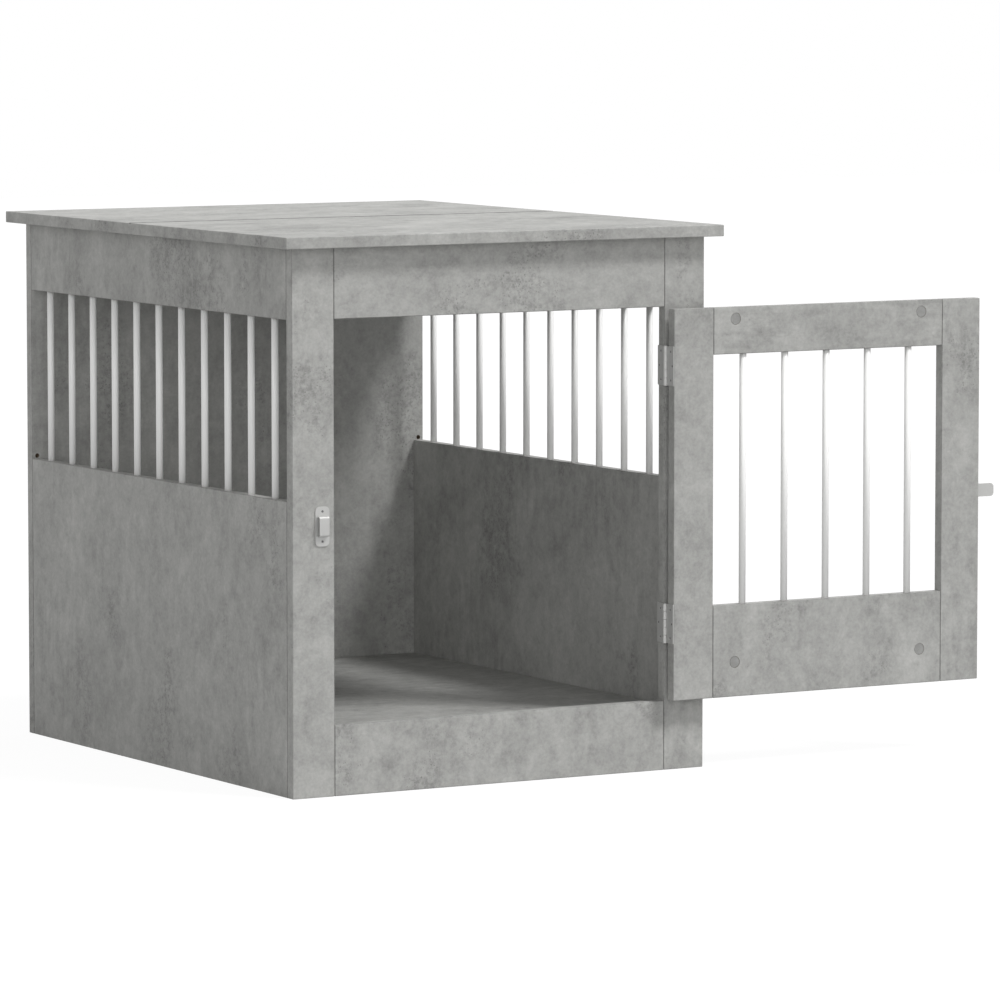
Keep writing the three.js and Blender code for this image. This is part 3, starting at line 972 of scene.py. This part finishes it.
# %% Hinges
HINGE_HEIGHT = 51.5 * MM
KNUCKLE_COUNT = 5
KNUCKLE_RADIUS = 3.5 * MM
KNUCKLE_BORE = 1.9 * MM
KNUCKLE_GAP = 0.3 * MM
LEAF_NEAR = 0.2 * MM  # from the hinge axis to the leaf's near face
LEAF_THICKNESS = 1.0 * MM
LEAF_START = 3.9 * MM
LEAF_END = 19.5 * MM
LEAF_CORNER = 1 * MM
SHEET_EDGE = 0.12 * MM
SCREW_HOLE = 1.7 * MM  # radius
HOLE_SIDES = 24
HINGE_SCREWS = [(12 * MM, -18.5 * MM), (16 * MM, 0), (12 * MM, 18.5 * MM)]  # from the axis, and up
PIN_RADIUS = 1.5 * MM
PIN_HEAD_RADIUS = 2.5 * MM
PIN_HEAD_HEIGHT = 0.8 * MM
PIN_DOME = (0, 0.3, 0.6, 0.9, 1.2)  # angles of its rings


def knuckle_outline(side):
    """A rolled knuckle with the start of its leaf, seen from above."""
    near, far = LEAF_NEAR, LEAF_NEAR + LEAF_THICKNESS
    far_angle = math.degrees(math.acos(far / KNUCKLE_RADIUS))
    near_angle = math.degrees(math.acos(near / KNUCKLE_RADIUS))
    ring = arc(0, 0, KNUCKLE_RADIUS, near_angle, far_angle + 360, 40)
    points = ring + [(far, LEAF_START + LEAF_THICKNESS), (near, LEAF_START + LEAF_THICKNESS)]
    return [(x, side * y) for x, y in points]


def hinge_leaf(middle, side, first_knuckle):
    half = HINGE_HEIGHT / 2
    rim = rounded_box(LEAF_START, LEAF_END, -half, half, LEAF_CORNER)
    rim = [(side * x, y) for x, y in rim]
    holes = [circle(side * x, y, SCREW_HOLE, HOLE_SIDES) for x, y in HINGE_SCREWS]
    leaf_place = axes(middle + Vector((LEAF_NEAR, 0, 0)), (0, 1, 0), (0, 0, 1), (1, 0, 0))
    shapes = [sheet_piece([rim] + holes, LEAF_THICKNESS, SHEET_EDGE, leaf_place)]
    pitch = HINGE_HEIGHT / KNUCKLE_COUNT
    for index in range(first_knuckle, KNUCKLE_COUNT, 2):
        low = middle + Vector((0, 0, -half + index * pitch + KNUCKLE_GAP / 2))
        outlines = [knuckle_outline(side), circle(0, 0, KNUCKLE_BORE)]
        place = Matrix.Translation(low)
        shapes.append(sheet_piece(outlines, pitch - KNUCKLE_GAP, SHEET_EDGE, place))
    return shapes


def hinge_pin(middle):
    top = HINGE_HEIGHT / 2 + KNUCKLE_GAP
    dome = [(PIN_HEAD_RADIUS * math.cos(a), top + PIN_HEAD_HEIGHT * math.sin(a)) for a in PIN_DOME]
    half = [(PIN_RADIUS, top)] + dome + [(0, top + PIN_HEAD_HEIGHT)]
    profile = [(radius, -height) for radius, height in reversed(half)] + half
    return [turned_piece(profile, Matrix.Translation(middle))]


def add_fitting(name, shapes, node):
    add_piece(name, joined(shapes, name, nickel), BODY_OF[node], [node])


hinge_middles = []
for hinge in ("upper", "lower"):
    hinge_middle = middle_of(f"{hinge}_hinge_pin")
    hinge_middles.append(hinge_middle)
    add_fitting(f"{hinge}_leaf_on_frame", hinge_leaf(hinge_middle, 1, 0), f"{hinge}_hinge_frame_leaf")
    add_fitting(f"{hinge}_leaf_on_door", hinge_leaf(hinge_middle, -1, 1), f"{hinge}_hinge_door_leaf")
    add_fitting(f"{hinge}_pin", hinge_pin(hinge_middle), f"{hinge}_hinge_pin")
print("hinges at heights:", [round(middle.z / MM) for middle in hinge_middles], "mm")

# %% [markdown]
# The keeper is a plate with a bridge of bent strip. The slide bolt on the door runs under two
# such bridges on a plate of its own, with a knob between them that stops it at both ends.

# %% Keeper
PLATE_THICKNESS = 1.2 * MM
KEEPER_SCREW = 19 * MM  # from the middle, up and down
KEEPER_ROUND = 6 * MM
KEEPER_BRIDGE = (14 * MM, 26 * MM, 6 * MM)  # width, height and clear depth from the plate's back
BRIDGE_CORNER = 3.2 * MM

keeper_low, keeper_high = (Vector(corner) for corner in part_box("bolt_keeper"))
keeper_middle = Vector(
    ((keeper_low.x + keeper_high.x) / 2, keeper_high.y, (keeper_low.z + keeper_high.z) / 2)
)


def plate_with_holes(left, right, low, high, radius, holes, place):
    outlines = [rounded_box(left, right, low, high, radius)]
    outlines += [circle(x, y, SCREW_HOLE, HOLE_SIDES) for x, y in holes]
    return sheet_piece(outlines, PLATE_THICKNESS, SHEET_EDGE, place)


def keeper_shapes():
    half_width = (keeper_high.x - keeper_low.x) / 2
    half_height = (keeper_high.z - keeper_low.z) / 2
    on_face = axes(keeper_middle, (1, 0, 0), (0, 0, 1), (0, -1, 0))
    holes = [(0, -KEEPER_SCREW), (0, KEEPER_SCREW)]
    sides = (-half_width, half_width, -half_height, half_height)
    plate = plate_with_holes(*sides, KEEPER_ROUND, holes, on_face)
    width, height, clear_depth = KEEPER_BRIDGE
    end_on = axes(keeper_middle - Vector((width / 2, 0, 0)), (0, 0, 1), (0, -1, 0), (1, 0, 0))
    outline = strap_outline(height, clear_depth, PLATE_THICKNESS, BRIDGE_CORNER)
    return [plate, sheet_piece([outline], width, SHEET_EDGE, end_on)]


add_fitting("keeper", keeper_shapes(), "bolt_keeper")

# %% Slide bolt
GUIDE_WIDTH = 6 * MM
GUIDE_PLAY = 0.5 * MM
GUIDE_CORNER = 1.8 * MM
BOLT_THICKNESS = 3 * MM
BOLT_PLAY = 0.3 * MM
BOLT_WIDTH = 17.4 * MM
BOLT_CORNER = 5 * MM
BOLT_EDGE = 0.35 * MM
SHANK_HOLE = 2.3 * MM  # radius
GUIDE_HEIGHT = BOLT_WIDTH + 2 * (GUIDE_PLAY + PLATE_THICKNESS)
LATCH_SCREW_INSET = 5 * MM
LATCH_ROUND = 1.2 * MM

latch_low, latch_high = (Vector(corner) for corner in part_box("latch_plate"))
bolt_low, bolt_high = (Vector(corner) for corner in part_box("slide_bolt"))
knob_low, knob_high = (Vector(corner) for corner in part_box("slide_bolt_knob"))
latch_length = latch_high.x - latch_low.x
latch_half_height = (latch_high.z - latch_low.z) / 2
latch_height = (latch_low.z + latch_high.z) / 2
latch_back = Vector((latch_high.x, latch_low.y, latch_height))
latch_holes = [
    (x, y)
    for x in (LATCH_SCREW_INSET, latch_length - LATCH_SCREW_INSET)
    for y in (LATCH_SCREW_INSET - latch_half_height, latch_half_height - LATCH_SCREW_INSET)
]
on_door_face = axes(latch_back, (-1, 0, 0), (0, 0, 1), (0, 1, 0))


def latch_shapes():
    half = latch_half_height
    sides = (0, latch_length, -half, half)
    shapes = [plate_with_holes(*sides, LATCH_ROUND, latch_holes, on_door_face)]
    clear_depth = PLATE_THICKNESS + BOLT_THICKNESS + 2 * BOLT_PLAY
    outline = strap_outline(GUIDE_HEIGHT, clear_depth, PLATE_THICKNESS, GUIDE_CORNER)
    for start in (0, latch_length - GUIDE_WIDTH):
        end_on = axes(latch_back - Vector((start, 0, 0)), (0, 0, 1), (0, 1, 0), (-1, 0, 0))
        shapes.append(sheet_piece([outline], GUIDE_WIDTH, SHEET_EDGE, end_on))
    return shapes


def bolt_shapes():
    length = bolt_high.x - bolt_low.x
    half = BOLT_WIDTH / 2
    place = axes((bolt_high.x, bolt_low.y, latch_height), (-1, 0, 0), (0, 0, 1), (0, 1, 0))
    knob_x = bolt_high.x - (knob_low.x + knob_high.x) / 2
    outlines = [rounded_box(0, length, -half, half, BOLT_CORNER), circle(knob_x, 0, SHANK_HOLE)]
    return [sheet_piece(outlines, BOLT_THICKNESS, BOLT_EDGE, place)]


KNOB_SHANK = 2 * MM  # radius
KNOB_WAIST = 0.7  # shares of the knob's radius
KNOB_FLARE = 0.9
KNOB_LIP = 0.4 * MM
KNOB_CROWN = 1.2 * MM


def knob_shapes():
    """A waisted knob on a shank, with a rounded head."""
    radius = (knob_high.x - knob_low.x) / 2
    height = knob_high.y - knob_low.y
    collar = BOLT_THICKNESS + BOLT_PLAY
    waist = KNOB_WAIST * radius
    shoulder = collar + (height - collar) / 2
    crown = arc(radius - KNOB_CROWN, height - KNOB_CROWN, KNOB_CROWN, 0, 90, 6)
    profile = [(0, 0), (KNOB_SHANK, 0), (KNOB_SHANK, collar), (waist, collar)]
    profile += [(waist, collar + (height - collar) / 3), (KNOB_FLARE * radius, shoulder - KNOB_LIP)]
    profile += [(radius, shoulder)] + crown + [(0, height)]
    middle = Vector(((knob_low.x + knob_high.x) / 2, knob_low.y, latch_height))
    return [turned_piece(profile, axes(middle, (-1, 0, 0), (0, 0, 1), (0, 1, 0)))]


add_fitting("latch_base", latch_shapes(), "latch_plate")
add_fitting("bolt_tongue", bolt_shapes(), "slide_bolt")
add_fitting("bolt_knob", knob_shapes(), "slide_bolt_knob")
print("bolt plate length:", round(latch_length / MM, 1), "mm")

# %% [markdown]
# ## Screws and caps
#
# All the screws are alike, and so are the four caps on the door. One copy of each is modelled,
# and Geometry Nodes set it on a point for each place, turned by an attribute of that point.

# %% Tree: copies on points
TURN = "turn"


def make_copies_on_points():
    tree, given = new_tree(
        "copies_on_points",
        {
            "Geometry": "NodeSocketGeometry",
            "Copy": "NodeSocketObject",
            "Material": "NodeSocketMaterial",
        },
    )
    copy = add_node(tree, "GeometryNodeObjectInfo", {"Object": given["Copy"]}).outputs["Geometry"]
    turn = add_node(tree, "GeometryNodeInputNamedAttribute", {"Name": TURN}, data_type="FLOAT_VECTOR")
    rotation = add_node(tree, "FunctionNodeEulerToRotation", {"Euler": turn.outputs["Attribute"]})
    placed = {"Points": given["Geometry"], "Instance": copy, "Rotation": rotation.outputs[0]}
    copies = add_node(tree, "GeometryNodeInstanceOnPoints", placed).outputs[0]
    end_tree(tree, copies, given["Material"])
    return tree


copies_on_points = make_copies_on_points()


def copies(name, model, places, material):
    """A mesh with the model at every (point, outward direction, spin in degrees)."""
    points = bpy.data.meshes.new(name)
    points.from_pydata([point for point, out, spin in places], [], [])
    turns = points.attributes.new(TURN, "FLOAT_VECTOR", "POINT")
    for index, (point, out, spin) in enumerate(places):
        facing = Vector(out).to_track_quat("Z", "Y").to_matrix()
        turned = facing @ Matrix.Rotation(math.radians(spin), 3, "Z")
        turns.data[index].vector = turned.to_euler()
    holder = bpy.data.objects.new("model", model)
    bpy.context.scene.collection.objects.link(holder)
    mesh = run_tree(copies_on_points, name, {"Copy": holder, "Material": material}, points)
    bpy.data.objects.remove(holder)
    mesh.set_sharp_from_angle(angle=SHARP_ANGLE)
    return mesh


# %% Screw
SCREW_RADIUS = 2.8 * MM
SCREW_RISE = 0.18 * MM  # low enough for the screws of two closed hinge leaves to pass
SCREW_RINGS = 9
SCREW_SIDES = 32
SCREW_RIM = 0.1 * MM
SCREW_SEAT = 0.9 * MM
SCREW_PLAY = 0.15 * MM
SPIN_STEP = 37  # degrees from one screw to the next
RECESS_REACH = 2 * MM
RECESS_HALF_WIDTH = 0.8 * MM
RECESS_DEPTH = 0.9 * MM


def recess_at(x, y):
    """How deep the cross recess is there."""
    near, far = sorted((abs(x), abs(y)))
    if near > RECESS_HALF_WIDTH or far > RECESS_REACH:
        return 0
    return RECESS_DEPTH * (1 - 0.5 * far / RECESS_REACH)


def make_screw():
    """A low domed head with a cross recess. Its rim is at height zero, and its cone goes below."""
    steps = [i / SCREW_RINGS for i in range(SCREW_RINGS + 1)]
    profile = [(SCREW_RADIUS * step, SCREW_RISE * (1 - step**2)) for step in steps]
    profile += [(SCREW_RADIUS, -SCREW_RIM), (SCREW_HOLE - SCREW_PLAY, -SCREW_SEAT), (0, -SCREW_SEAT)]
    shape = turned_piece(profile, Matrix.Identity(4), SCREW_SIDES)
    for vertex in shape.verts:
        if vertex.co.z > 0:
            vertex.co.z -= recess_at(vertex.co.x, vertex.co.y)
    mesh = joined([shape], "screw", screw_steel)
    marks = mesh.attributes.new(RECESS, "FLOAT", "POINT")
    marks.data.foreach_set("value", [float(recess_at(v.co.x, v.co.y) > 0) for v in mesh.vertices])
    return mesh


def screw_places_on_leaf(middle, side):
    points = [middle + Vector((LEAF_NEAR, side * along, up)) for along, up in HINGE_SCREWS]
    return [(point, (-1, 0, 0)) for point in points]


def spun(places):
    """Screws never stop at the same angle, so each is turned a little further than the last."""
    return [(point, out, SPIN_STEP * index % 90) for index, (point, out) in enumerate(places)]


cabinet_screws = [place for middle in hinge_middles for place in screw_places_on_leaf(middle, 1)]
door_screws = [place for middle in hinge_middles for place in screw_places_on_leaf(middle, -1)]
keeper_face = keeper_middle - Vector((0, PLATE_THICKNESS, 0))
for up in (-KEEPER_SCREW, KEEPER_SCREW):
    cabinet_screws.append((keeper_face + Vector((0, 0, up)), (0, -1, 0)))
for x, y in latch_holes:
    door_screws.append((on_door_face @ Vector((x, y, PLATE_THICKNESS)), (0, 1, 0)))

screw_model = make_screw()
for screw_body, screw_places in (("cabinet", cabinet_screws), ("door", door_screws)):
    screw_mesh = copies(f"{screw_body}_screws", screw_model, spun(screw_places), screw_steel)
    add_piece(f"{screw_body}_screws", screw_mesh, screw_body)
    print(screw_body, "screws:", len(screw_places))

# %% [markdown]
# The caps sit flush in the door's inner face. They carry the boards' print on plastic, a shade
# darker than the boards, with a shallow dish and a fine rim.

# %% Caps
CAP_TONE = (0.283, 0.283, 0.274, 1)
CAP_CONTRAST = 0.7
CAP_PITS = 0.4
CAP_RIM = 0.8 * MM
CAP_DISH = 0.12 * MM
CAP_CORNER = 0.12 * MM
CAP_SLOPE = 0.3 * MM

cap_print = make_laminate("cap_print", CAP_TONE, CAP_CONTRAST, CAP_PITS)


def make_cap(radius, depth):
    rim = radius - CAP_RIM
    profile = [(0, -depth), (radius - CAP_SLOPE, -depth), (radius, -depth + CAP_SLOPE)]
    profile += [(radius, -CAP_CORNER), (radius - CAP_CORNER, 0), (rim, 0)]
    profile += [(rim - CAP_SLOPE, -CAP_DISH), (0, -CAP_DISH)]
    return joined([turned_piece(profile, Matrix.Identity(4))], "cap", cap_print)


def add_caps():
    nodes = numbered("door_cam_")
    low, high = (Vector(corner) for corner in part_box(nodes[0]))
    model = make_cap((high.x - low.x) / 2, high.y - low.y)
    places = []
    for node in nodes:
        middle = middle_of(node)
        middle.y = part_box(node)[0][1]
        places.append((middle, (0, -1, 0), 0))
    mesh = copies("door_caps", model, places, cap_print)
    lay_sheet(mesh, "x", len(BOARD_RUNS))
    add_piece("door_caps", mesh, BODY_OF[nodes[0]], nodes)
    print("caps:", len(nodes))


add_caps()
